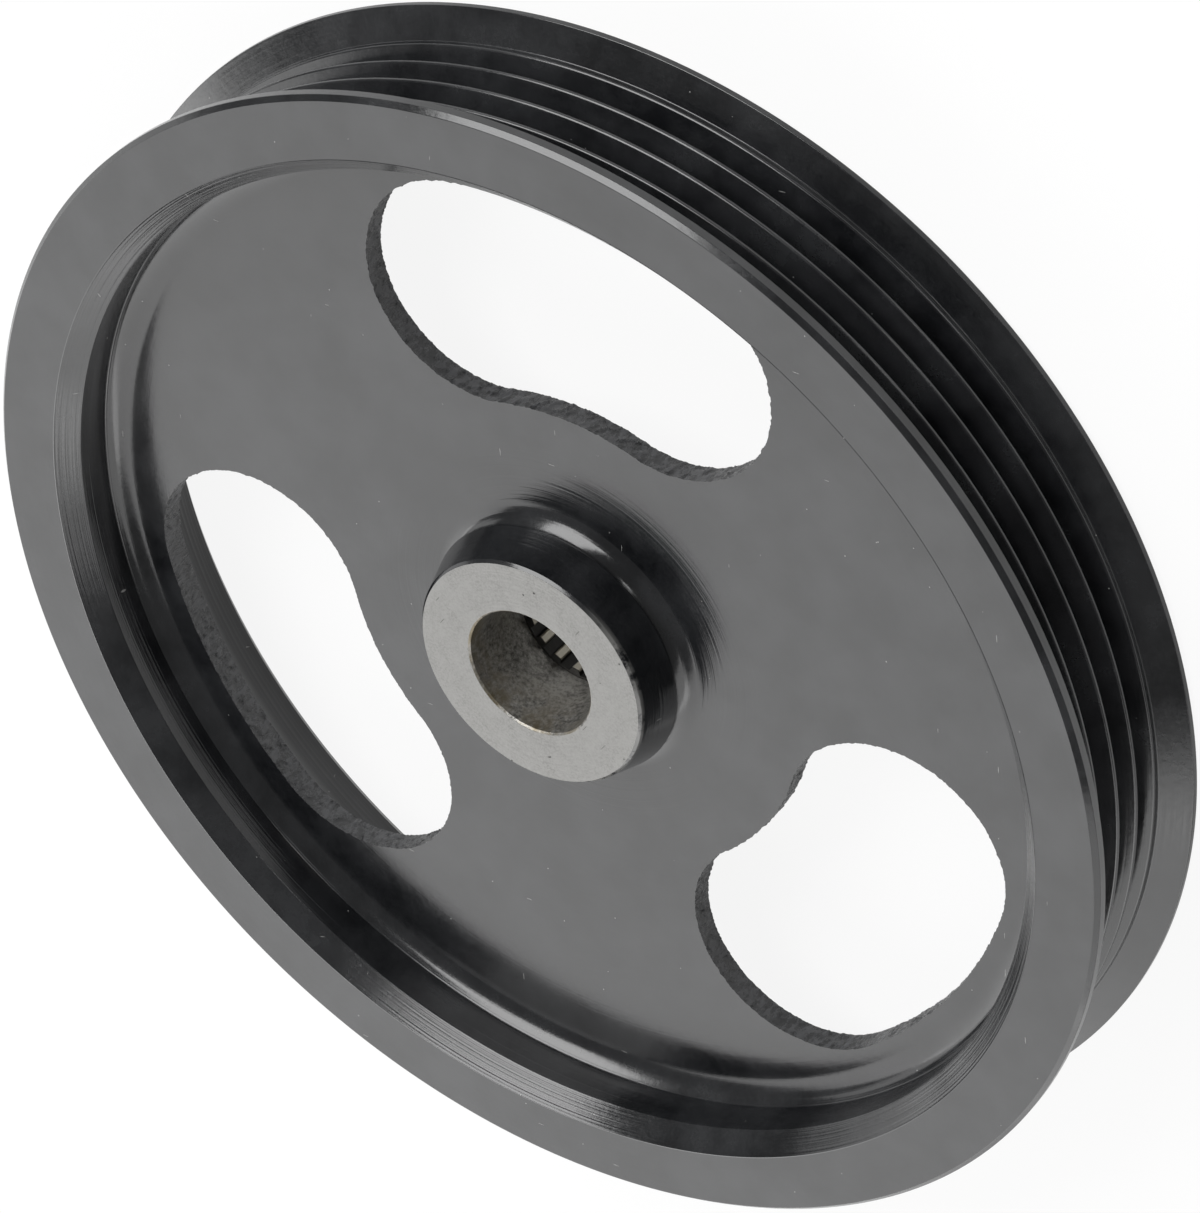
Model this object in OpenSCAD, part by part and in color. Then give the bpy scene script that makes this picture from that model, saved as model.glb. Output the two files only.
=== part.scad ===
// Multi-groove belt pulley for a power steering pump, turned from one piece of steel.
// The axis is +Z, the rear face of the rim lies on Z = 0 and the hub's nut face looks up.

/* [Rim] */
// Outside diameter over the two belt flanges
rim_d = 134; // [120:1:170]
// Width from the rear face to the root line of the first groove
rear_flange_w = 3.05; // [2.6:0.05:6]
// Width from the root line of the last groove to the front face
front_flange_w = 2.4; // [2.2:0.05:6]
// Bevel on the outer corners of both faces
rim_bevel = 0.5; // [0.2:0.05:0.8]
// Width of the front face, from the outside to the mouth of the dish
front_face_w = 7.05; // [5.5:0.05:9]
// How far the turned cone narrows the dish below its mouth, on the radius
front_cone_run = 2.1; // [1:0.1:3]
// Depth of the turned cone
front_cone_depth = 2; // [1:0.1:3]
// Draft of the inner wall below the turned cone, in degrees
front_draft = 1; // [0:0.5:6]
// Height above the web at which the inner wall turns in to its foot
front_foot_h = 1.9; // [1.4:0.1:3]
// Lean of the foot from the axis, in degrees
front_foot_lean = 40; // [20:1:50]
// Width of the rear face, from the outside to the rear mouth
rear_face_w = 7.2; // [5.5:0.1:9]
// Chamfer of the rear mouth
rear_chamfer = 1.1; // [0.3:0.1:1.5]
// Draft of the rear inner wall, in degrees
rear_draft = 15; // [5:1:20]

/* [Belt grooves] */
// Number of V grooves
groove_count = 4; // [4:1:6]
// Distance between two grooves
groove_pitch = 3.56; // [3.5:0.02:3.7]
// Angle between the two flanks of a groove, in degrees
groove_angle = 40; // [38:1:42]
// Height of the two flanges above the ribs between the grooves
flange_h = 3.2; // [2.7:0.1:4]
// Radius on the tip of a rib
rib_tip_r = 0.3; // [0.25:0.05:0.4]
// Radius in the bottom of a groove
groove_root_r = 0.4; // [0.2:0.05:0.5]
// Width of the land between the rear flange and the first groove
land_w = 0.45; // [0.35:0.05:0.9]
// Slope of the rear flange's belt side, in degrees from square to the axis
rear_flange_slope = 25; // [15:1:28]

/* [Web] */
// Depth of the web below the front face
web_depth = 8; // [6.5:0.1:9]
// Thickness of the web
web_t = 2.6; // [2:0.1:3.5]
// Fillet between the web and the foot of the front inner wall
front_fillet_r = 1.9; // [1:0.1:2.4]
// Fillet between the web and the rear inner wall
rear_fillet_r = 6; // [3:0.5:6.5]

/* [Windows] */
// Number of kidney windows
window_count = 3; // [2:1:4]
// Radius of the side of a window that faces the hub
window_inner_r = 27.85; // [24:0.05:32]
// Flat web left between a window and the fillet at the rim
window_margin = 1.9; // [0.5:0.1:4]
// Half the angle between the centres of a window's two round ends
window_half_angle = 16; // [8:1:24]

/* [Hub] */
// Diameter of the hub's nut face
hub_d = 27; // [24:0.2:32]
// Depth of the nut face below the front face of the rim
hub_recess = 0.8; // [0.3:0.1:2]
// Bevel on the edge of the hub's two ends
hub_bevel = 0.3; // [0.2:0.05:0.6]
// How far the hub widens from the nut face to its lip, on the radius
hub_flare = 1.4; // [0.4:0.1:2]
// Height of the lip's underside above the web
lip_h = 2.1; // [1.4:0.1:2.8]
// How far the groove reaches in under the lip
lip_undercut = 0.8; // [0.4:0.1:1.2]
// Radius of the hollow between the lip and the web
lip_hollow_r = 2.2; // [2.1:0.1:4]
// Height of the hub's rear end above the rear face of the rim
hub_rear_lift = 0.5; // [0.2:0.1:2]
// Fillet between the hub and the web, rear side
hub_rear_fillet_r = 4; // [2:0.25:5]

/* [Bore] */
// Diameter of the plain front part of the bore
bore_d = 14.7; // [14:0.1:15.5]
// Bevel on the bore's two mouths
bore_bevel = 0.2; // [0.1:0.05:0.4]
// Length of the plain part, from the nut face to the serration
bore_len = 9.3; // [7:0.1:12]

/* [Serration] */
// Number of teeth in the rear part of the bore
tooth_count = 18; // [14:1:20]
// Step from the plain bore in to the bottoms of the tooth gaps
tooth_step = 0.25; // [0.2:0.05:0.5]
// Height of a tooth, from the bottom of a gap to the crest
tooth_h = 0.6; // [0.4:0.05:0.8]
// Width of a crest
tooth_crest_w = 0.8; // [0.5:0.05:0.9]
// Slope of a tooth's flank, in degrees from radial
tooth_flank = 27; // [20:1:30]
// Angle of the first crest, measured from +X
tooth_phase = 3.3; // [0:0.1:20]

/* [Hidden] */
$fn = 180;
// steps in which a small arc of the belt side is drawn
arc_steps = 5;
// how far a cutter runs past the face that it opens
cut_over = 1;
// the first window is centred on +Y
window_phase = 90;

rim_r = rim_d / 2;
rim_w = rear_flange_w + groove_count * groove_pitch + front_flange_w;
web_top = rim_w - web_depth;
web_bottom = web_top - web_t;

// inner wall of the rim: at the front mouth, below the cone, at its foot and where the foot
// would meet the web
front_mouth_r = rim_r - front_face_w;
front_cone_r = front_mouth_r - front_cone_run;
front_foot_r = front_cone_r - (web_depth - front_cone_depth - front_foot_h) * tan(front_draft);
front_corner_r = front_foot_r - front_foot_h * tan(front_foot_lean);
rear_mouth_r = rim_r - rear_face_w;
rear_chamfer_r = rear_mouth_r - rear_chamfer;
rear_wall_r = rear_chamfer_r - (web_bottom - rear_chamfer) * tan(rear_draft);

// the sharp points where two flanks of a rib, and of a groove, would meet
flank = groove_angle / 2;
rib_r = rim_r - flange_h;
rib_apex_r = rib_r + rib_tip_r * (1 / sin(flank) - 1);
groove_apex_r = rib_apex_r - groove_pitch / 2 / tan(flank);
groove_root_c = groove_apex_r + groove_root_r / sin(flank);

hub_r = hub_d / 2;
hub_top = rim_w - hub_recess;
lip_r = hub_r + hub_flare;
lip_z = web_top + lip_h;
hollow_in_r = lip_r - lip_undercut;
hollow_c = hollow_in_r + sqrt(lip_hollow_r ^ 2 - (lip_hollow_r - lip_h) ^ 2);

bore_r = bore_d / 2;
tooth_root_r = bore_r - tooth_step;
tooth_crest_r = tooth_root_r - tooth_h;
serration_top = hub_top - bore_len;

// Points on an arc round [x, y], from angle a to angle b
function arc(x, y, r, a, b) =
    [for (i = [0:arc_steps]) let (t = a + (b - a) * i / arc_steps) [x + r * cos(t), y + r * sin(t)]];

// Belt side of the rim from the rear flange to the front flange, as [radius, height] points
function rib_tip(z, a = flank - 90) = arc(rib_r - rib_tip_r, z, rib_tip_r, a, 90 - flank);
function groove_root(z) = arc(groove_root_c, z, groove_root_r, 270 - flank, 90 + flank);
function belt_side() =
    let (
        land_z = rear_flange_w - land_w,
        last_z = rear_flange_w + groove_count * groove_pitch
    )
    concat(
        [[rim_r, land_z - flange_h * tan(rear_flange_slope)], [rib_r, land_z]],
        rib_tip(rear_flange_w, 0),
        [for (k = [0:groove_count - 1]) each concat(
            groove_root(rear_flange_w + (k + 0.5) * groove_pitch),
            k < groove_count - 1 ? rib_tip(rear_flange_w + (k + 1) * groove_pitch) : []
        )],
        [[rim_r, last_z + (rim_r - rib_apex_r) * tan(flank)]]
    );

// Fillet in the corner [r, z] between the level web and a wall that leans back by draft, as
// [point on the web, point on the wall, centre]. side is +1 where the wall is outside the web
// and -1 where it is inside; up is +1 above the web and -1 below it.
function fillet(r, z, radius, draft, side, up) =
    let (run = radius / tan((90 + draft) / 2))
    [
        [r - side * run, z],
        [r + side * run * sin(draft), z + up * run * cos(draft)],
        [r - side * run, z + up * radius]
    ];

rim_front = fillet(front_corner_r, web_top, front_fillet_r, front_foot_lean, 1, 1);
rim_rear = fillet(rear_wall_r, web_bottom, rear_fillet_r, rear_draft, 1, -1);
hub_rear = fillet(lip_r, web_bottom, hub_rear_fillet_r, 0, -1, -1);

window_outer_r = rim_front[0][0] - window_margin;
window_mid_r = (window_inner_r + window_outer_r) / 2;
window_end_r = (window_outer_r - window_inner_r) / 2;

// Half section of the pulley before the windows and the bore are cut
module section() {
    core_r = tooth_crest_r - cut_over;
    difference() {
        polygon(concat(
            [[rear_mouth_r, 0], [rim_r - rim_bevel, 0], [rim_r, rim_bevel]],
            belt_side(),
            [[rim_r, rim_w - rim_bevel], [rim_r - rim_bevel, rim_w], [front_mouth_r, rim_w],
             [front_cone_r, rim_w - front_cone_depth], [front_foot_r, web_top + front_foot_h],
             rim_front[1], rim_front[0],
             [hollow_c, web_top], [hollow_in_r, lip_z], [lip_r, lip_z],
             [hub_r, hub_top - hub_bevel], [hub_r - hub_bevel, hub_top],
             [core_r, hub_top], [core_r, hub_rear_lift],
             [lip_r - hub_bevel, hub_rear_lift], [lip_r, hub_rear_lift + hub_bevel],
             hub_rear[1], hub_rear[0], rim_rear[0], rim_rear[1],
             [rear_chamfer_r, rear_chamfer]]
        ));
        translate(rim_front[2]) circle(front_fillet_r);
        translate(rim_rear[2]) circle(rear_fillet_r);
        translate(hub_rear[2]) circle(hub_rear_fillet_r);
        intersection() {
            translate([hollow_c, web_top + lip_hollow_r]) circle(lip_hollow_r);
            translate([hollow_in_r, web_top]) square([hollow_c - hollow_in_r, lip_h]);
        }
    }
}

// Kidney window: a ring sector with a round at each end
module window_cut() {
    h = web_t + rear_fillet_r + front_fillet_r;
    translate([0, 0, web_bottom - rear_fillet_r]) {
        rotate([0, 0, -window_half_angle]) rotate_extrude(angle = 2 * window_half_angle)
            translate([window_inner_r, 0]) square([window_outer_r - window_inner_r, h]);
        for (s = [-1, 1]) rotate([0, 0, s * window_half_angle]) translate([window_mid_r, 0, 0])
            cylinder(r = window_end_r, h = h);
    }
}

// Bevel at a mouth of the bore that lies at height z, closing upwards for up = 1
module mouth_bevel(z, r, up) {
    rotate_extrude() polygon([
        [0, z], [r + bore_bevel, z], [r, z + up * bore_bevel], [0, z + up * bore_bevel]
    ]);
}

// One tooth of the serration, crest towards the axis and foot sunk in the wall
module tooth() {
    foot_r = tooth_root_r + cut_over;
    foot_w = tooth_crest_w + 2 * (foot_r - tooth_crest_r) * tan(tooth_flank);
    polygon([
        [tooth_crest_r, -tooth_crest_w / 2], [foot_r, -foot_w / 2],
        [foot_r, foot_w / 2], [tooth_crest_r, tooth_crest_w / 2]
    ]);
}

// Opening of the serrated part, seen along the axis
module serration_opening() {
    difference() {
        circle(tooth_root_r);
        for (k = [0:tooth_count - 1]) rotate(tooth_phase + k * 360 / tooth_count) tooth();
    }
}

module pulley() {
    color([0.16, 0.17, 0.18]) difference() {
        rotate_extrude() section();
        for (k = [0:window_count - 1]) rotate([0, 0, window_phase + k * 360 / window_count]) window_cut();
        translate([0, 0, serration_top]) cylinder(r = bore_r, h = bore_len + cut_over);
        translate([0, 0, hub_rear_lift - cut_over])
            linear_extrude(serration_top - hub_rear_lift + 2 * cut_over) serration_opening();
        mouth_bevel(hub_top, bore_r, -1);
        mouth_bevel(hub_rear_lift, tooth_root_r, 1);
    }
}

pulley();
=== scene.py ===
"""Looks for the power steering pump pulley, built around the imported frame.

The turned body is lathed again at a finer step, with its small edge rounds, and the windows and
the serration are cut into it with the rough walls that the real ones have. Sizes are written in
millimetres and turned into metres where they are used. Texture scales are per metre.
"""

import math

import bmesh
import bpy
import numpy as np
from mathutils import Matrix, Vector, noise


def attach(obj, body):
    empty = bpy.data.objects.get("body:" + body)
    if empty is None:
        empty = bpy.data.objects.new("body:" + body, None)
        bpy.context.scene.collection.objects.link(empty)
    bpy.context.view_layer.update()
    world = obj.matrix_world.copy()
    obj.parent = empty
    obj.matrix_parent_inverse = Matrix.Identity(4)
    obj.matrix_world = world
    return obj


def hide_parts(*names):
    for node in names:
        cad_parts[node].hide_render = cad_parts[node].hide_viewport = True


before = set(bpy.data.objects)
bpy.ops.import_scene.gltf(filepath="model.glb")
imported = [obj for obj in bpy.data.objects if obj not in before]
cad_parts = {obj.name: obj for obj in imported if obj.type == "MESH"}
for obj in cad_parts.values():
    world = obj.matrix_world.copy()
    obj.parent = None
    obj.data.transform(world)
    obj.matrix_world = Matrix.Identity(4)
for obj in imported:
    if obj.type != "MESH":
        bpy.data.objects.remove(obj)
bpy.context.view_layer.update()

MM = 0.001

# Sizes, as in the CAD source

RIM_R = 67.0
RIM_W = 19.69
RIM_BEVEL = 0.5
FRONT_MOUTH_R = 59.95
CONE_R = 57.85
CONE_DEPTH = 2.0
REAR_MOUTH_R = 59.8
REAR_CHAMFER = 1.1
REAR_DRAFT = 15.0
GROOVES = 4
PITCH = 3.56
FLANK = 20.0
REAR_FLANGE_W = 3.05
LAND_W = 0.45
FLANGE_H = 3.2
REAR_SLOPE = 25.0
RIB_TIP_R = 0.3
ROOT_R = 0.4
WEB_TOP = 11.69
WEB_BOTTOM = 9.09
REAR_FILLET = 6.0
HUB_R = 13.5
HUB_TOP = 18.89
HUB_REAR = 0.5
HUB_BEVEL = 0.3
HUB_REAR_FILLET = 4.0
LIP_R = 14.9
BORE_R = 7.35
BORE_BEVEL = 0.2
SERRATION_TOP = 9.59
GAP_R = 7.1
CREST_R = 6.5
CREST_W = 0.8
TOOTH_FLANK = 27.0
TEETH = 18
TOOTH_PHASE = 3.3
WINDOWS = 3
FIRST_WINDOW = 90
WINDOW_IN_R = 27.85
WINDOW_OUT_R = 53.4
WINDOW_HALF = 16.0

# Hollow under the hub's lip and round foot of the front wall, finer than in the CAD source

LIP_Z = 14.09
HOLLOW_IN_R = 13.56
HOLLOW_R = 2.77
HOLLOW_STEPS = 8
FLAT_END_R = 55.15
FOOT_R = 3.35
FOOT_TURN = 61.0
FOOT_STEPS = 8

# Rounds of the turned edges, which the CAD source leaves sharp

EDGE_ROUND = 0.12
FINE_ROUND = 0.06
SOFT_ROUND = 0.2
BORE_ROUND = 0.08
LIP_ROUND = 0.25
HOLLOW_ROUND = 0.1
MOUTH_ROUND = 0.05
CREST_ROUND = 0.1
LAND_ROUND = 0.15


def tan(deg):
    return math.tan(math.radians(deg))


RIB_R = RIM_R - FLANGE_H
RIB_APEX_R = RIB_R + RIB_TIP_R * (1 / math.sin(math.radians(FLANK)) - 1)
ROOT_APEX_R = RIB_APEX_R - PITCH / 2 / tan(FLANK)
REAR_WALL_R = REAR_MOUTH_R - REAR_CHAMFER - (WEB_BOTTOM - REAR_CHAMFER) * tan(REAR_DRAFT)
HOLLOW_C = HOLLOW_IN_R + math.sqrt(HOLLOW_R ** 2 - (HOLLOW_R - (LIP_Z - WEB_TOP)) ** 2)

# Camera, fitted to the photograph: pixels, degrees, and the distance in radii of the rim

PHOTO_W = 1200
PHOTO_H = 1213
FOCAL_PX = 6256.0
AXIS_PX = (632.5, 573.8)
DISTANCE = 9.637
TILT = 50.674
ROLL = 136.025
SPIN = 5.2
SENSOR = 36.0
CLIP_START = 0.01


def make_camera():
    """Places the camera from the axis, distance and turn that the photograph gives."""
    t, r = math.radians(TILT), math.radians(ROLL)
    n = np.array([math.sin(t) * math.cos(r), math.sin(t) * math.sin(r), -math.cos(t)])
    up = np.array([0.0, -1.0, 0.0])
    u = up - (up @ n) * n
    u /= np.linalg.norm(u)
    v = np.cross(n, u)
    s = math.radians(SPIN)
    axes = np.array([math.cos(s) * u + math.sin(s) * v, math.cos(s) * v - math.sin(s) * u, n])
    centre = DISTANCE * np.array([
        (AXIS_PX[0] - PHOTO_W / 2) / FOCAL_PX, (AXIS_PX[1] - PHOTO_H / 2) / FOCAL_PX, 1.0])
    place = axes @ -centre * RIM_R * MM
    turn = axes @ np.diag([1.0, -1.0, -1.0])
    data = bpy.data.cameras.new("camera")
    data.sensor_width = SENSOR
    data.lens = FOCAL_PX / PHOTO_H * SENSOR
    data.clip_start = CLIP_START
    camera = bpy.data.objects.new("camera", data)
    camera.matrix_world = Matrix.Translation(Vector(place)) @ Matrix(turn.tolist()).to_4x4()
    bpy.context.scene.collection.objects.link(camera)
    bpy.context.scene.camera = camera


make_camera()

# Turned profile

COAT, STEEL, BORE_STEEL, WALL = 0, 1, 2, 3
ARC_STEP = 15.0
LATHE_STEPS = 300


def arc(centre_r, centre_z, radius, start, end, steps):
    """Points of an arc, both ends included, from one angle in radians to another."""
    angles = [start + (end - start) * i / steps for i in range(steps + 1)]
    return [(centre_r + radius * math.cos(a), centre_z + radius * math.sin(a)) for a in angles]


def round_corner(a, b, c, radius):
    """Points of the arc that rounds corner b between a and c."""
    a, b, c = (np.array(p, float) for p in (a, b, c))
    d0, d1 = (a - b) / np.linalg.norm(a - b), (c - b) / np.linalg.norm(c - b)
    angle = math.acos(max(-1.0, min(1.0, float(d0 @ d1))))
    run = radius / math.tan(angle / 2)
    bisector = (d0 + d1) / np.linalg.norm(d0 + d1)
    centre = b + bisector * radius / math.sin(angle / 2)
    p0, p1 = b + d0 * run - centre, b + d1 * run - centre
    sweep = math.pi - angle
    steps = max(2, round(math.degrees(sweep) / ARC_STEP))
    sign = 1 if p0[0] * p1[1] - p0[1] * p1[0] > 0 else -1
    out = []
    for i in range(steps + 1):
        w = sign * sweep * i / steps
        out.append((centre[0] + p0[0] * math.cos(w) - p0[1] * math.sin(w),
                    centre[1] + p0[0] * math.sin(w) + p0[1] * math.cos(w)))
    return out


def hollow_corners():
    """The hollow under the hub's lip, from just after its inner corner to the web."""
    start = math.atan2(LIP_Z - WEB_TOP - HOLLOW_R, HOLLOW_IN_R - HOLLOW_C) % (2 * math.pi)
    points = arc(HOLLOW_C, WEB_TOP + HOLLOW_R, HOLLOW_R, start, 1.5 * math.pi, HOLLOW_STEPS)
    return [(r, z, 0, COAT) for r, z in points[1:]]


def foot_corners():
    """The round foot of the front inner wall, from the flat web to the wall."""
    start = -math.pi / 2
    end = start + math.radians(FOOT_TURN)
    points = arc(FLAT_END_R, WEB_TOP + FOOT_R, FOOT_R, start, end, FOOT_STEPS)
    return [(r, z, 0, COAT) for r, z in points[:-1]] + [(*points[-1], EDGE_ROUND, COAT)]


def groove_corners():
    """The belt grooves and the ribs between them, from the front to the rear."""
    out = []
    for k in range(GROOVES - 1, -1, -1):
        out.append((ROOT_APEX_R, REAR_FLANGE_W + (k + 0.5) * PITCH, ROOT_R, COAT))
        if k:
            out.append((RIB_APEX_R, REAR_FLANGE_W + k * PITCH, RIB_TIP_R, COAT))
    return out


def profile_corners():
    """The closed half section as (radius, height, round, material) corners."""
    front_crest = REAR_FLANGE_W + GROOVES * PITCH + (RIM_R - RIB_APEX_R) * tan(FLANK)
    land_z = REAR_FLANGE_W - LAND_W
    return [
        (BORE_R, HUB_TOP - BORE_BEVEL, BORE_ROUND, BORE_STEEL),
        (BORE_R + BORE_BEVEL, HUB_TOP, FINE_ROUND, STEEL),
        (HUB_R - HUB_BEVEL, HUB_TOP, FINE_ROUND, COAT),
        (HUB_R, HUB_TOP - HUB_BEVEL, EDGE_ROUND, COAT),
        (LIP_R, LIP_Z, LIP_ROUND, COAT),
        (HOLLOW_IN_R, LIP_Z, HOLLOW_ROUND, COAT),
        *hollow_corners(),
        *foot_corners(),
        (CONE_R, RIM_W - CONE_DEPTH, SOFT_ROUND, COAT),
        (FRONT_MOUTH_R, RIM_W, MOUTH_ROUND, COAT),
        (RIM_R - RIM_BEVEL, RIM_W, EDGE_ROUND, COAT),
        (RIM_R, RIM_W - RIM_BEVEL, EDGE_ROUND, COAT),
        (RIM_R, front_crest, CREST_ROUND, COAT),
        *groove_corners(),
        (RIB_R, REAR_FLANGE_W + (RIB_APEX_R - RIB_R) * tan(FLANK), RIB_TIP_R, COAT),
        (RIB_R, land_z, LAND_ROUND, COAT),
        (RIM_R, land_z - FLANGE_H * tan(REAR_SLOPE), EDGE_ROUND, COAT),
        (RIM_R, RIM_BEVEL, EDGE_ROUND, COAT),
        (RIM_R - RIM_BEVEL, 0, EDGE_ROUND, COAT),
        (REAR_MOUTH_R, 0, EDGE_ROUND, COAT),
        (REAR_MOUTH_R - REAR_CHAMFER, REAR_CHAMFER, SOFT_ROUND, COAT),
        (REAR_WALL_R, WEB_BOTTOM, REAR_FILLET, COAT),
        (LIP_R, WEB_BOTTOM, HUB_REAR_FILLET, COAT),
        (LIP_R, HUB_REAR + HUB_BEVEL, EDGE_ROUND, COAT),
        (LIP_R - HUB_BEVEL, HUB_REAR, EDGE_ROUND, STEEL),
        (GAP_R + BORE_BEVEL, HUB_REAR, FINE_ROUND, BORE_STEEL),
        (GAP_R, HUB_REAR + BORE_BEVEL, FINE_ROUND, BORE_STEEL),
        (GAP_R, SERRATION_TOP, 0, BORE_STEEL),
        (BORE_R, SERRATION_TOP, 0, BORE_STEEL),
    ]


def profile():
    """The corners with their rounds drawn, as (radius, height, material) points."""
    corners = profile_corners()
    out = []
    for i, (r, z, radius, mat) in enumerate(corners):
        if not radius:
            out.append((r, z, mat))
            continue
        before, after = corners[i - 1][:2], corners[(i + 1) % len(corners)][:2]
        points = round_corner(before, (r, z), after, radius)
        last_mat = corners[i - 1][3]
        out += [(p[0], p[1], last_mat if j < len(points) // 2 else mat) for j, p in enumerate(points)]
    return out


def new_object(name, points, faces):
    """An object, not yet in the scene, with a mesh of the given faces and points in metres."""
    mesh = bpy.data.meshes.new(name)
    mesh.from_pydata(points, [], faces)
    mesh.update()
    return bpy.data.objects.new(name, mesh)


def lathe(points, steps):
    """A closed ring of quads through the profile points, one strip per profile edge."""
    n = len(points)
    angle = 2 * np.pi * np.arange(steps) / steps
    r = np.array([p[0] for p in points]) * MM
    z = np.array([p[1] for p in points]) * MM
    co = np.stack([np.outer(np.cos(angle), r), np.outer(np.sin(angle), r),
                   np.broadcast_to(z, (steps, n))], axis=2).reshape(-1, 3)
    faces, mats = [], []
    for s in range(steps):
        a, b = s * n, (s + 1) % steps * n
        for i in range(n):
            j = (i + 1) % n
            faces.append((a + i, a + j, b + j, b + i))
            mats.append(points[i][2])
    body = new_object("pulley_body", co.tolist(), faces)
    body.data.polygons.foreach_set("material_index", mats)
    return body


# Windows, with slanting ridges, a broken grain and a slow wave on their walls

WALL_STEP = 0.24
WALL_RISE = 0.22
WALL_LOW, WALL_HIGH = 8.3, 12.0
CUT_LOW, CUT_HIGH = 3.2, 13.6
SEAM_POINTS = 12
ROUGH = 0.13
RIDGE_ACROSS = (2.1, 1.5)
RIDGE_ALONG = (-0.35, 0.5)
RIDGE_MEAN = 0.5
GRAIN_PER_MM = 2.9
GRAIN_SHARE = 0.6
WAVE_PER_MM = (0.3, 0.2)
WAVE_DEPTH = 0.05
GRAIN_SEED, WAVE_SEED = 20, 40
FIRST_SEED, SEED_STEP = 3.1, 7.7


def window_outline():
    """Outline of a window centred on +X, as points at an even step with their outward normals."""
    mid, end = (WINDOW_IN_R + WINDOW_OUT_R) / 2, (WINDOW_OUT_R - WINDOW_IN_R) / 2
    h = math.radians(WINDOW_HALF)
    out = []

    def run(cx, cy, radius, a, b, sign):
        steps = max(2, round(abs(b - a) * radius / WALL_STEP))
        for i in range(steps):
            t = a + (b - a) * i / steps
            out.append((cx + radius * math.cos(t), cy + radius * math.sin(t),
                        sign * math.cos(t), sign * math.sin(t)))

    run(0, 0, WINDOW_OUT_R, -h, h, 1)
    run(mid * math.cos(h), mid * math.sin(h), end, h, h + math.pi, 1)
    run(0, 0, WINDOW_IN_R, h, -h, -1)
    run(mid * math.cos(-h), mid * math.sin(-h), end, math.pi - h, 2 * math.pi - h, 1)
    return out


def wall_relief(s, z, seed):
    """How far the window's wall stands out of its outline, at length s along it and height z."""
    across = s * RIDGE_ACROSS[0] + z * RIDGE_ACROSS[1]
    along = s * RIDGE_ALONG[0] + z * RIDGE_ALONG[1]
    ridges = 1.0 - 2.0 * abs(noise.noise(Vector((across, along, seed))))
    grain = noise.noise(Vector((s * GRAIN_PER_MM, z * GRAIN_PER_MM, seed + GRAIN_SEED)))
    wave = noise.noise(Vector((s * WAVE_PER_MM[0], z * WAVE_PER_MM[1], seed + WAVE_SEED)))
    return ROUGH * (ridges - RIDGE_MEAN + GRAIN_SHARE * grain) + WAVE_DEPTH * wave


def window_cutter(turn, seed):
    """A closed cutter with a rough wall, turned to its place."""
    outline = window_outline()
    n = len(outline)
    levels = [CUT_LOW, *np.arange(WALL_LOW, WALL_HIGH, WALL_RISE).tolist(), CUT_HIGH]
    c, s = math.cos(math.radians(turn)), math.sin(math.radians(turn))
    co, faces = [], []
    for z in levels:
        for i, (x, y, nx, ny) in enumerate(outline):
            blend = min(1.0, min(i, n - i) / SEAM_POINTS)
            d = wall_relief(i * WALL_STEP, z, seed) * blend
            px, py = x + nx * d, y + ny * d
            co.append(((px * c - py * s) * MM, (px * s + py * c) * MM, z * MM))
    for k in range(len(levels) - 1):
        for i in range(n):
            j = (i + 1) % n
            faces.append((k * n + i, k * n + j, (k + 1) * n + j, (k + 1) * n + i))
    faces.append(tuple(reversed(range(n))))
    faces.append(tuple(range(n * (len(levels) - 1), n * len(levels))))
    return new_object("cutter", co, faces)


# Teeth of the serration

TOOTH_SUNK = 0.6
TOOTH_EDGE = 0.07
TOOTH_REAR_GAP = 0.6
TOOTH_FRONT_GAP = 0.01


def tooth_section():
    """Section of the tooth that points along +X, from its foot in the bore's wall to its crest."""
    foot = GAP_R + TOOTH_SUNK
    half = CREST_W / 2 + (foot - CREST_R) * tan(TOOTH_FLANK)
    side = CREST_W / 2 + TOOTH_EDGE * tan(TOOTH_FLANK)
    flat = CREST_W / 2 - TOOTH_EDGE
    shoulder = CREST_R + TOOTH_EDGE
    return [(foot, -half), (shoulder, -side), (CREST_R, -flat),
            (CREST_R, flat), (shoulder, side), (foot, half)]


def serration_teeth():
    """The teeth as prisms sunk into the bore's wall."""
    section = tooth_section()
    m = len(section)
    low, high = HUB_REAR + TOOTH_REAR_GAP, SERRATION_TOP - TOOTH_FRONT_GAP
    co, faces = [], []
    for k in range(TEETH):
        a = math.radians(TOOTH_PHASE + k * 360 / TEETH)
        base = len(co)
        for z in (low, high):
            for x, y in section:
                co.append(((x * math.cos(a) - y * math.sin(a)) * MM,
                           (x * math.sin(a) + y * math.cos(a)) * MM, z * MM))
        for i in range(m):
            j = (i + 1) % m
            faces.append((base + i, base + j, base + m + j, base + m + i))
        faces.append(tuple(base + i for i in reversed(range(m))))
        faces.append(tuple(base + m + i for i in range(m)))
    return new_object("serration_teeth", co, faces)


# Work on meshes


def fix_normals(ob):
    bm = bmesh.new()
    bm.from_mesh(ob.data)
    bmesh.ops.recalc_face_normals(bm, faces=bm.faces)
    bm.to_mesh(ob.data)
    bm.free()


def apply_modifiers(ob):
    """Bakes the modifiers of ob into its mesh."""
    depsgraph = bpy.context.evaluated_depsgraph_get()
    mesh = bpy.data.meshes.new_from_object(ob.evaluated_get(depsgraph), depsgraph=depsgraph)
    ob.modifiers.clear()
    ob.data = mesh


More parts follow.
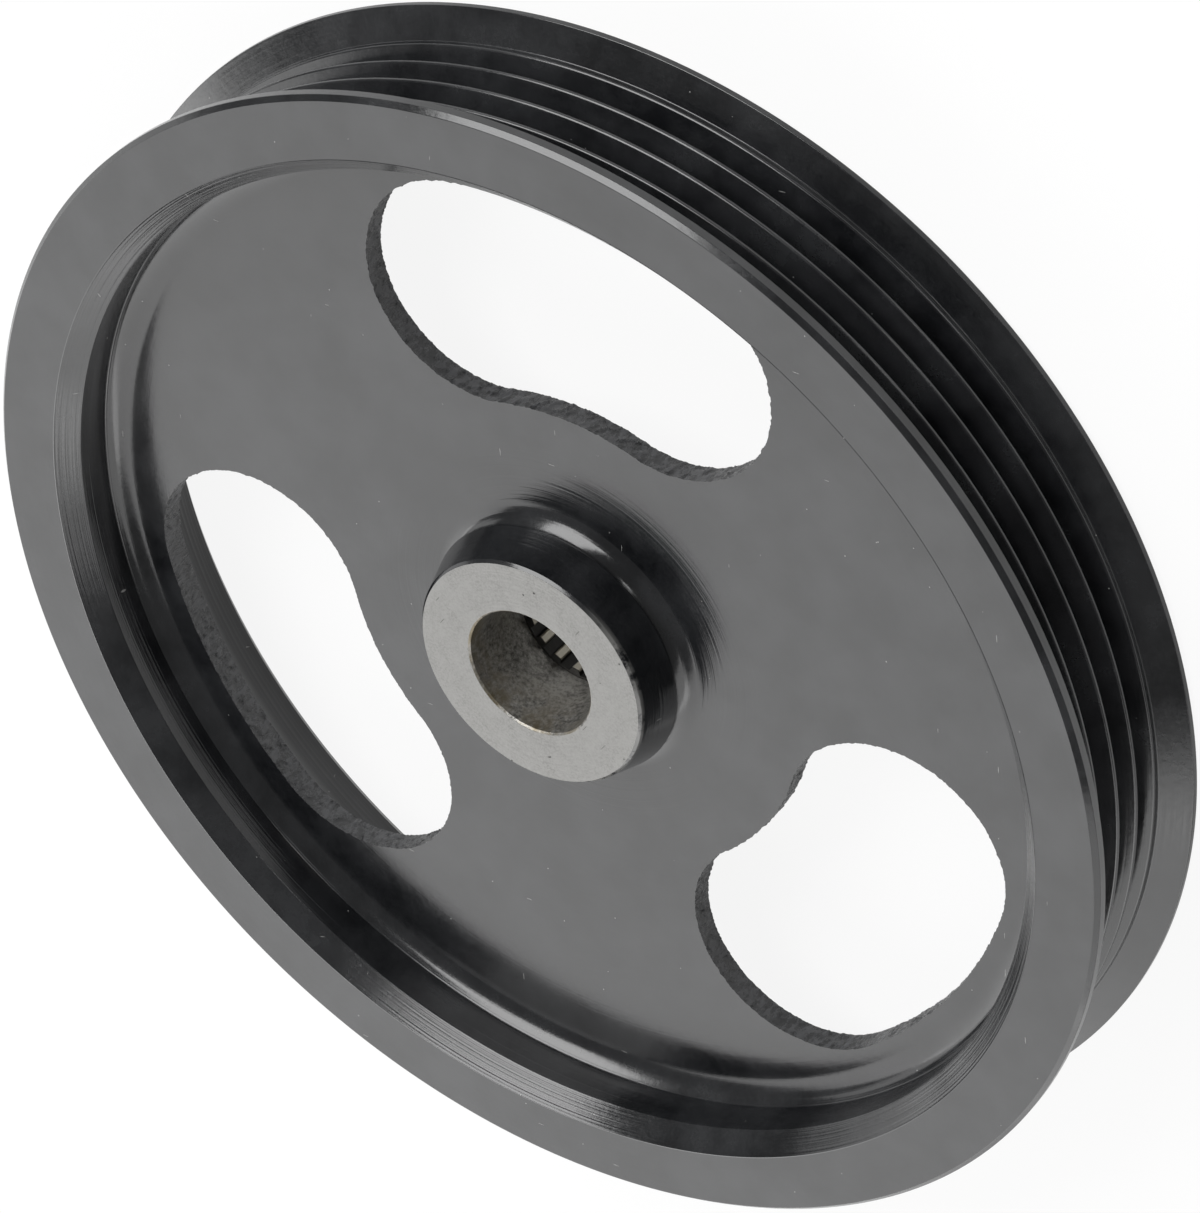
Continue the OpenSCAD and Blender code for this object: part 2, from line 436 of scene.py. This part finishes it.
def combine(body, tool, material, operation):
    """Cuts the tool out of the body or joins it on, with the given material on the tool's faces."""
    for slot in body.data.materials:
        tool.data.materials.append(slot)
    tool.data.polygons.foreach_set("material_index", [material] * len(tool.data.polygons))
    bpy.context.scene.collection.objects.link(tool)
    fix_normals(tool)
    mod = body.modifiers.new("combine", "BOOLEAN")
    mod.object = tool
    mod.operation = operation
    mod.solver = "MANIFOLD"
    apply_modifiers(body)
    bpy.data.objects.remove(tool)


# Material nodes

NOISE_LOW, NOISE_HIGH = 0.3, 0.7


class Nodes:
    """Short calls for building a node tree."""

    def __init__(self, name):
        self.mat = bpy.data.materials.new(name)
        self.mat.use_nodes = True
        self.tree = self.mat.node_tree
        self.shader = self.tree.nodes["Principled BSDF"]

    def add(self, kind, inputs=None, **settings):
        node = self.tree.nodes.new(kind)
        for key, value in settings.items():
            setattr(node, key, value)
        for key, value in (inputs or {}).items():
            self.link(value, node.inputs[key])
        return node

    def link(self, value, socket):
        if isinstance(value, bpy.types.NodeSocket):
            self.tree.links.new(value, socket)
        else:
            socket.default_value = value

    def shade(self, value, name):
        """Gives the shader's input of that name a texture or a fixed value."""
        self.link(value, self.shader.inputs[name])

    def math(self, operation, a, b=0.0):
        return self.add("ShaderNodeMath", {0: a, 1: b}, operation=operation).outputs[0]

    def ramp(self, value, low, high, to_low=0.0, to_high=1.0):
        node = self.add("ShaderNodeMapRange", {"Value": value, "From Min": low, "From Max": high,
                                               "To Min": to_low, "To Max": to_high})
        return node.outputs["Result"]

    def spread(self, texture, to_low, to_high):
        """Brings the range that a noise mostly keeps to onto the given one."""
        return self.ramp(texture, NOISE_LOW, NOISE_HIGH, to_low, to_high)

    def noise(self, vector, scale, detail=2.0, rough=0.5):
        node = self.add("ShaderNodeTexNoise", {"Vector": vector, "Scale": scale, "Detail": detail,
                                               "Roughness": rough})
        return node.outputs["Fac"]

    def noise_1d(self, w, scale, detail=2.0, rough=0.5):
        node = self.add("ShaderNodeTexNoise", {"W": w, "Scale": scale, "Detail": detail,
                                               "Roughness": rough}, noise_dimensions="1D")
        return node.outputs["Fac"]

    def mix(self, factor, a, b):
        node = self.add("ShaderNodeMix", data_type="RGBA")
        self.link(factor, node.inputs[0])
        self.link(a, node.inputs[6])
        self.link(b, node.inputs[7])
        return node.outputs[2]

    def vector(self, operation, a, b, output=0):
        return self.add("ShaderNodeVectorMath", {0: a, 1: b}, operation=operation).outputs[output]

    def where(self):
        return self.add("ShaderNodeTexCoord").outputs["Object"]

    def place(self):
        """Object coordinates, with the distance from the axis and the height."""
        where = self.where()
        parts = self.add("ShaderNodeSeparateXYZ", {0: where}).outputs
        square = self.math("ADD", self.math("MULTIPLY", parts[0], parts[0]),
                           self.math("MULTIPLY", parts[1], parts[1]))
        return where, self.math("SQRT", square), parts[2]

    def bump(self, height, distance, normal=None):
        inputs = {"Height": height, "Distance": distance}
        if normal is not None:
            inputs["Normal"] = normal
        return self.add("ShaderNodeBump", inputs).outputs[0]


SEED_SHIFT = (1.0, 1.7, 0.3)
SCRATCH_STRETCH = 16.0


def speck_mask(n, where, scale, size, share, seed):
    """White where a sparse small speck lies."""
    shifted = n.vector("ADD", where, tuple(seed * s for s in SEED_SHIFT))
    cells = n.add("ShaderNodeTexVoronoi", {"Vector": shifted, "Scale": scale, "Randomness": 1.0})
    near = n.math("LESS_THAN", cells.outputs["Distance"], size)
    pick = n.add("ShaderNodeSeparateColor", {0: cells.outputs["Color"]}).outputs[0]
    return n.math("MULTIPLY", near, n.math("LESS_THAN", pick, share))


def scratch_mask(n, where, turn, scale, size, share, seed):
    """White along a few short straight scratches that run one way."""
    turned = n.add("ShaderNodeVectorRotate", {"Vector": where, "Angle": math.radians(turn)},
                   rotation_type="Z_AXIS")
    stretched = n.vector("MULTIPLY", turned.outputs[0], (1.0, SCRATCH_STRETCH, 1.0))
    return speck_mask(n, stretched, scale, size, share, seed)


# Colours, as linear values

WHITE = (1, 1, 1, 1)
COAT_DARK = (0.006, 0.0064, 0.0073, 1)
COAT_PALE = (0.021, 0.0218, 0.0235, 1)
COAT_WORN = (0.16, 0.158, 0.152, 1)
DUST = (0.3, 0.3, 0.29, 1)
TORN_DARK = (0.012, 0.0125, 0.0135, 1)
TORN_PALE = (0.05, 0.051, 0.054, 1)
STEEL_DARK = (0.19, 0.188, 0.181, 1)
STEEL_MID = (0.24, 0.238, 0.23, 1)
STEEL_PALE = (0.3, 0.297, 0.288, 1)
STEEL_PIT = (0.04, 0.038, 0.036, 1)
BORE_DARK = (0.12, 0.117, 0.109, 1)
BORE_PALE = (0.5, 0.488, 0.46, 1)
BORE_STAIN = (0.17, 0.145, 0.1, 1)
# Tooth crests: a beige tint brightened into a painted highlight; tooth gaps and front ends: painted
# shade
TOOTH_CREST_HIGHLIGHT = (0.72, 0.68, 0.58, 1)
TOOTH_GAP_SHADE = (0.035, 0.034, 0.032, 1)
TOOTH_END_SHADE = (0.05, 0.049, 0.046, 1)
FLOOR_DARK = (0.95, 0.95, 0.95, 1)
FLOOR_PALE = (0.97, 0.97, 0.97, 1)

# Coat: the worn edge of the nut face, and the turning marks on the cone, the web and the hub

COAT_IOR = 1.6
WORN_AZIMUTH = 228.0
WORN_FROM, WORN_FULL = 4.0, 9.0
WORN_LOW, WORN_HIGH = HUB_TOP - 0.75, HUB_TOP - 0.3
CONE_MARKS_FROM, CONE_MARKS_FULL = CONE_R - 0.3, CONE_R + 0.1
CONE_MARKS_END = FRONT_MOUTH_R + 0.1
FACED_FULL_R, FACED_END_R = 17.0, 27.0
FACED_DEPTH, WEB_DEPTH = 0.6, 0.12
MARK_DEPTH = 0.03
MARK_SLANT = 0.8
PEEL_DEPTH = 0.009
CLOUD_SHARE, FINE_SHARE = 0.85, 0.15


def worn_edge(n, where, radius, height):
    """White where the edge of the nut face has lost its coat, on the side that the photograph shows."""
    a = math.radians(WORN_AZIMUTH)
    side = n.vector("DOT_PRODUCT", where, (math.cos(a), math.sin(a), 0), output="Value")
    worn_side = n.ramp(side, WORN_FROM * MM, WORN_FULL * MM)
    on_hub = n.math("LESS_THAN", radius, LIP_R * MM)
    edge = n.ramp(height, WORN_LOW * MM, WORN_HIGH * MM)
    broken = n.ramp(n.noise(where, scale=420.0, detail=4.0, rough=0.7), low=0.4, high=0.52)
    return n.math("MULTIPLY", n.math("MULTIPLY", worn_side, on_hub), n.math("MULTIPLY", edge, broken))


def coat_dust(n, where):
    """White on specks of dust and on short scratches that run two ways."""
    specks = speck_mask(n, where, scale=900.0, size=0.06, share=0.07, seed=0.37)
    one_way = scratch_mask(n, where, turn=25.0, scale=420.0, size=0.2, share=0.0012, seed=0.11)
    other_way = scratch_mask(n, where, turn=118.0, scale=520.0, size=0.2, share=0.0012, seed=0.53)
    return n.math("MAXIMUM", specks, n.math("MAXIMUM", one_way, other_way))


def turning_marks(n, radius, height):
    """Height of the turning tool's rings, clear on the cone and near the hub, faint elsewhere."""
    along = n.math("ADD", radius, n.math("MULTIPLY", height, MARK_SLANT))
    rings = n.math("ADD", n.noise_1d(along, scale=4300.0), n.noise_1d(along, scale=900.0, rough=0.6))
    turned = n.math("MULTIPLY", n.ramp(radius, CONE_MARKS_FROM * MM, CONE_MARKS_FULL * MM),
                    n.ramp(radius, CONE_MARKS_END * MM, FRONT_MOUTH_R * MM))
    faced = n.ramp(radius, FACED_END_R * MM, FACED_FULL_R * MM, WEB_DEPTH, FACED_DEPTH)
    return n.math("MULTIPLY", rings, n.math("MAXIMUM", turned, faced))


def coat_material():
    """Thin glossy black coat over turned steel, with the rings that the turning tool left."""
    n = Nodes("black_coat")
    where, radius, height = n.place()
    cloud = n.noise(where, scale=130.0, detail=4.0, rough=0.6)
    grain = n.noise(where, scale=3200.0, rough=0.6)
    tint = n.math("ADD", n.math("MULTIPLY", cloud, CLOUD_SHARE), n.math("MULTIPLY", grain, FINE_SHARE))
    base = n.mix(n.ramp(tint, low=0.38, high=0.64), COAT_DARK, COAT_PALE)
    dusty = n.mix(coat_dust(n, where), base, DUST)
    n.shade(n.mix(worn_edge(n, where, radius, height), dusty, COAT_WORN), "Base Color")
    rough = n.math("ADD", n.spread(cloud, 0.14, 0.2), n.spread(grain, -0.03, 0.03))
    n.shade(rough, "Roughness")
    marks = n.bump(turning_marks(n, radius, height), MARK_DEPTH * MM)
    peel = n.noise(where, scale=1100.0, detail=3.0, rough=0.6)
    n.shade(n.bump(peel, PEEL_DEPTH * MM, normal=marks), "Normal")
    n.shade(COAT_IOR, "IOR")
    return n.mat


# Other materials

TORN_STRETCH = (1.0, 1.0, 0.5)
TORN_DEPTH = 0.2
STEEL_DEPTH = 0.02
BORE_DEPTH = 0.06
STAIN_LOW, STAIN_HIGH = 12.0, 18.5
CREST_END_R, FLANK_START_R = CREST_R + 0.1, CREST_R + 0.3
FRONT_LOW, FRONT_HIGH = SERRATION_TOP - 0.12, SERRATION_TOP + 0.05


def wall_material():
    """The same coat on the torn wall of a window."""
    n = Nodes("window_wall")
    stretched = n.vector("MULTIPLY", n.where(), TORN_STRETCH)
    torn = n.noise(stretched, scale=1500.0, detail=4.0, rough=0.6)
    n.shade(n.mix(n.ramp(torn, low=0.4, high=0.62), TORN_DARK, TORN_PALE), "Base Color")
    n.shade(n.spread(torn, 0.2, 0.34), "Roughness")
    n.shade(n.bump(torn, TORN_DEPTH * MM), "Normal")
    n.shade(COAT_IOR, "IOR")
    return n.mat


def steel_material():
    """Bare ground steel with small pits and scratches."""
    n = Nodes("bare_steel")
    where, radius, _ = n.place()
    mottle = n.noise(where, scale=420.0, detail=4.0, rough=0.65)
    fine = n.noise(where, scale=4200.0, rough=0.6)
    pits = speck_mask(n, where, scale=1000.0, size=0.12, share=0.08, seed=1.21)
    scratches = scratch_mask(n, where, turn=62.0, scale=500.0, size=0.25, share=0.009, seed=0.73)
    tone = n.mix(n.ramp(mottle, low=0.35, high=0.65), STEEL_DARK, STEEL_MID)
    grained = n.mix(n.ramp(fine, low=0.35, high=0.65), tone, STEEL_PALE)
    n.shade(n.mix(n.math("MAXIMUM", pits, scratches), grained, STEEL_PIT), "Base Color")
    n.shade(0.9, "Metallic")
    n.shade(n.spread(fine, 0.44, 0.6), "Roughness")
    rings = n.noise_1d(radius, scale=3000.0)
    n.shade(n.bump(n.math("ADD", fine, rings), STEEL_DEPTH * MM), "Normal")
    return n.mat


def bore_material():
    """Bare steel inside the bore, speckled, brown near the mouth, with a painted highlight on the
    teeth's crests and painted shade in their gaps and on their front ends.
    """
    n = Nodes("bore_steel")
    where, radius, height = n.place()
    mottle = n.noise(where, scale=350.0, detail=5.0, rough=0.7)
    fine = n.noise(where, scale=2400.0, detail=3.0, rough=0.65)
    stain = n.math("MULTIPLY", n.ramp(height, STAIN_LOW * MM, STAIN_HIGH * MM),
                   n.ramp(mottle, low=0.42, high=0.6))
    tone = n.mix(n.ramp(n.math("ADD", mottle, fine), low=0.75, high=1.2), BORE_DARK, BORE_PALE)
    plain = n.mix(stain, tone, BORE_STAIN)
    # Painted highlight on the crests, and painted shade on the flanks and in the gaps between the teeth
    crest_highlight_gap_shade = n.mix(n.ramp(radius, CREST_END_R * MM, FLANK_START_R * MM), TOOTH_CREST_HIGHLIGHT, TOOTH_GAP_SHADE)
    # Painted shade on the teeth's front ends
    behind = n.math("LESS_THAN", height, FRONT_LOW * MM)
    front = n.math("MULTIPLY", n.math("LESS_THAN", height, FRONT_HIGH * MM),
                   n.math("GREATER_THAN", height, FRONT_LOW * MM))
    n.shade(n.mix(front, n.mix(behind, plain, crest_highlight_gap_shade), TOOTH_END_SHADE), "Base Color")
    n.shade(0.7, "Metallic")
    n.shade(n.spread(fine, 0.3, 0.48), "Roughness")
    n.shade(n.bump(fine, BORE_DEPTH * MM), "Normal")
    return n.mat


# The pulley's piece

SHARP_ANGLE = 32


def build_pulley():
    body = lathe(profile(), LATHE_STEPS)
    bpy.context.scene.collection.objects.link(body)
    for material in (coat_material(), steel_material(), bore_material(), wall_material()):
        body.data.materials.append(material)
    fix_normals(body)
    for k in range(WINDOWS):
        cutter = window_cutter(FIRST_WINDOW + 360 / WINDOWS * k, FIRST_SEED + SEED_STEP * k)
        combine(body, cutter, WALL, "DIFFERENCE")
    combine(body, serration_teeth(), BORE_STEEL, "UNION")
    body.data.polygons.foreach_set("use_smooth", [True] * len(body.data.polygons))
    body.data.set_sharp_from_angle(angle=math.radians(SHARP_ANGLE))
    weigh = body.modifiers.new("normals", "WEIGHTED_NORMAL")
    weigh.keep_sharp = True
    weigh.weight = 100
    apply_modifiers(body)
    body.name = "pulley_body"
    return body


pulley = build_pulley()
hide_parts("pulley")
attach(pulley, "root")

# Floor and light

CAMERA_WHITE = 0.9
MIRROR_WHITE = 0.35
FLOOR_HALF = 6.0
WORLD_STRENGTH = 0.2
LAMP_DISTANCE = 1.6


def floor_material():
    """A floor that camera rays see as mostly plain white, and mirror rays in part."""
    n = Nodes("pale_floor")
    n.shade(n.mix(n.noise(n.where(), scale=60.0, detail=3.0), FLOOR_DARK, FLOOR_PALE), "Base Color")
    n.shade(0.9, "Roughness")
    n.shade(0.1, "Specular IOR Level")
    rays = n.add("ShaderNodeLightPath").outputs
    mirrored = n.math("MAXIMUM", rays["Is Glossy Ray"], rays["Is Transmission Ray"])
    share = n.math("MAXIMUM", n.math("MULTIPLY", rays["Is Camera Ray"], CAMERA_WHITE),
                   n.math("MULTIPLY", mirrored, MIRROR_WHITE))
    white = n.add("ShaderNodeEmission", {"Color": WHITE, "Strength": 1.0})
    mixed = n.add("ShaderNodeMixShader", {0: share, 1: n.shader.outputs[0], 2: white.outputs[0]})
    n.link(mixed.outputs[0], n.tree.nodes["Material Output"].inputs["Surface"])
    return n.mat


def make_floor():
    h = FLOOR_HALF
    floor = new_object("floor", [(-h, -h, 0), (h, -h, 0), (h, h, 0), (-h, h, 0)], [(0, 1, 2, 3)])
    floor.data.materials.append(floor_material())
    bpy.context.scene.collection.objects.link(floor)


def panel(name, azimuth, elevation, spread, height, radiance):
    """A soft rectangular lamp of even radiance round the part, given by the angles that it covers."""
    a, e = math.radians(azimuth), math.radians(elevation)
    direction = Vector((math.cos(e) * math.cos(a), math.cos(e) * math.sin(a), math.sin(e)))
    data = bpy.data.lights.new(name, "AREA")
    data.shape = "RECTANGLE"
    data.size = 2 * LAMP_DISTANCE * tan(spread / 2)
    data.size_y = 2 * LAMP_DISTANCE * tan(height / 2)
    data.energy = radiance * math.pi * data.size * data.size_y
    lamp = bpy.data.objects.new(name, data)
    lamp.location = direction * LAMP_DISTANCE
    lamp.rotation_euler = direction.to_track_quat("Z", "Y").to_euler()
    bpy.context.scene.collection.objects.link(lamp)


def make_world():
    world = bpy.data.worlds.new("studio")
    world.use_nodes = True
    back = world.node_tree.nodes["Background"]
    back.inputs["Color"].default_value = WHITE
    back.inputs["Strength"].default_value = WORLD_STRENGTH
    bpy.context.scene.world = world


make_floor()
make_world()
panel("wide", azimuth=130, elevation=27, spread=100, height=66, radiance=1.86)
panel("wide_end", azimuth=196, elevation=24, spread=32, height=40, radiance=1.5)
panel("wide_start", azimuth=67, elevation=10, spread=26, height=26, radiance=1.1)
panel("soft", azimuth=-5, elevation=36, spread=36, height=44, radiance=6.4)
panel("camera_side", azimuth=292, elevation=15, spread=10, height=8, radiance=5.0)

bpy.context.scene.view_settings.view_transform = "Standard"
bpy.context.view_layer.update()
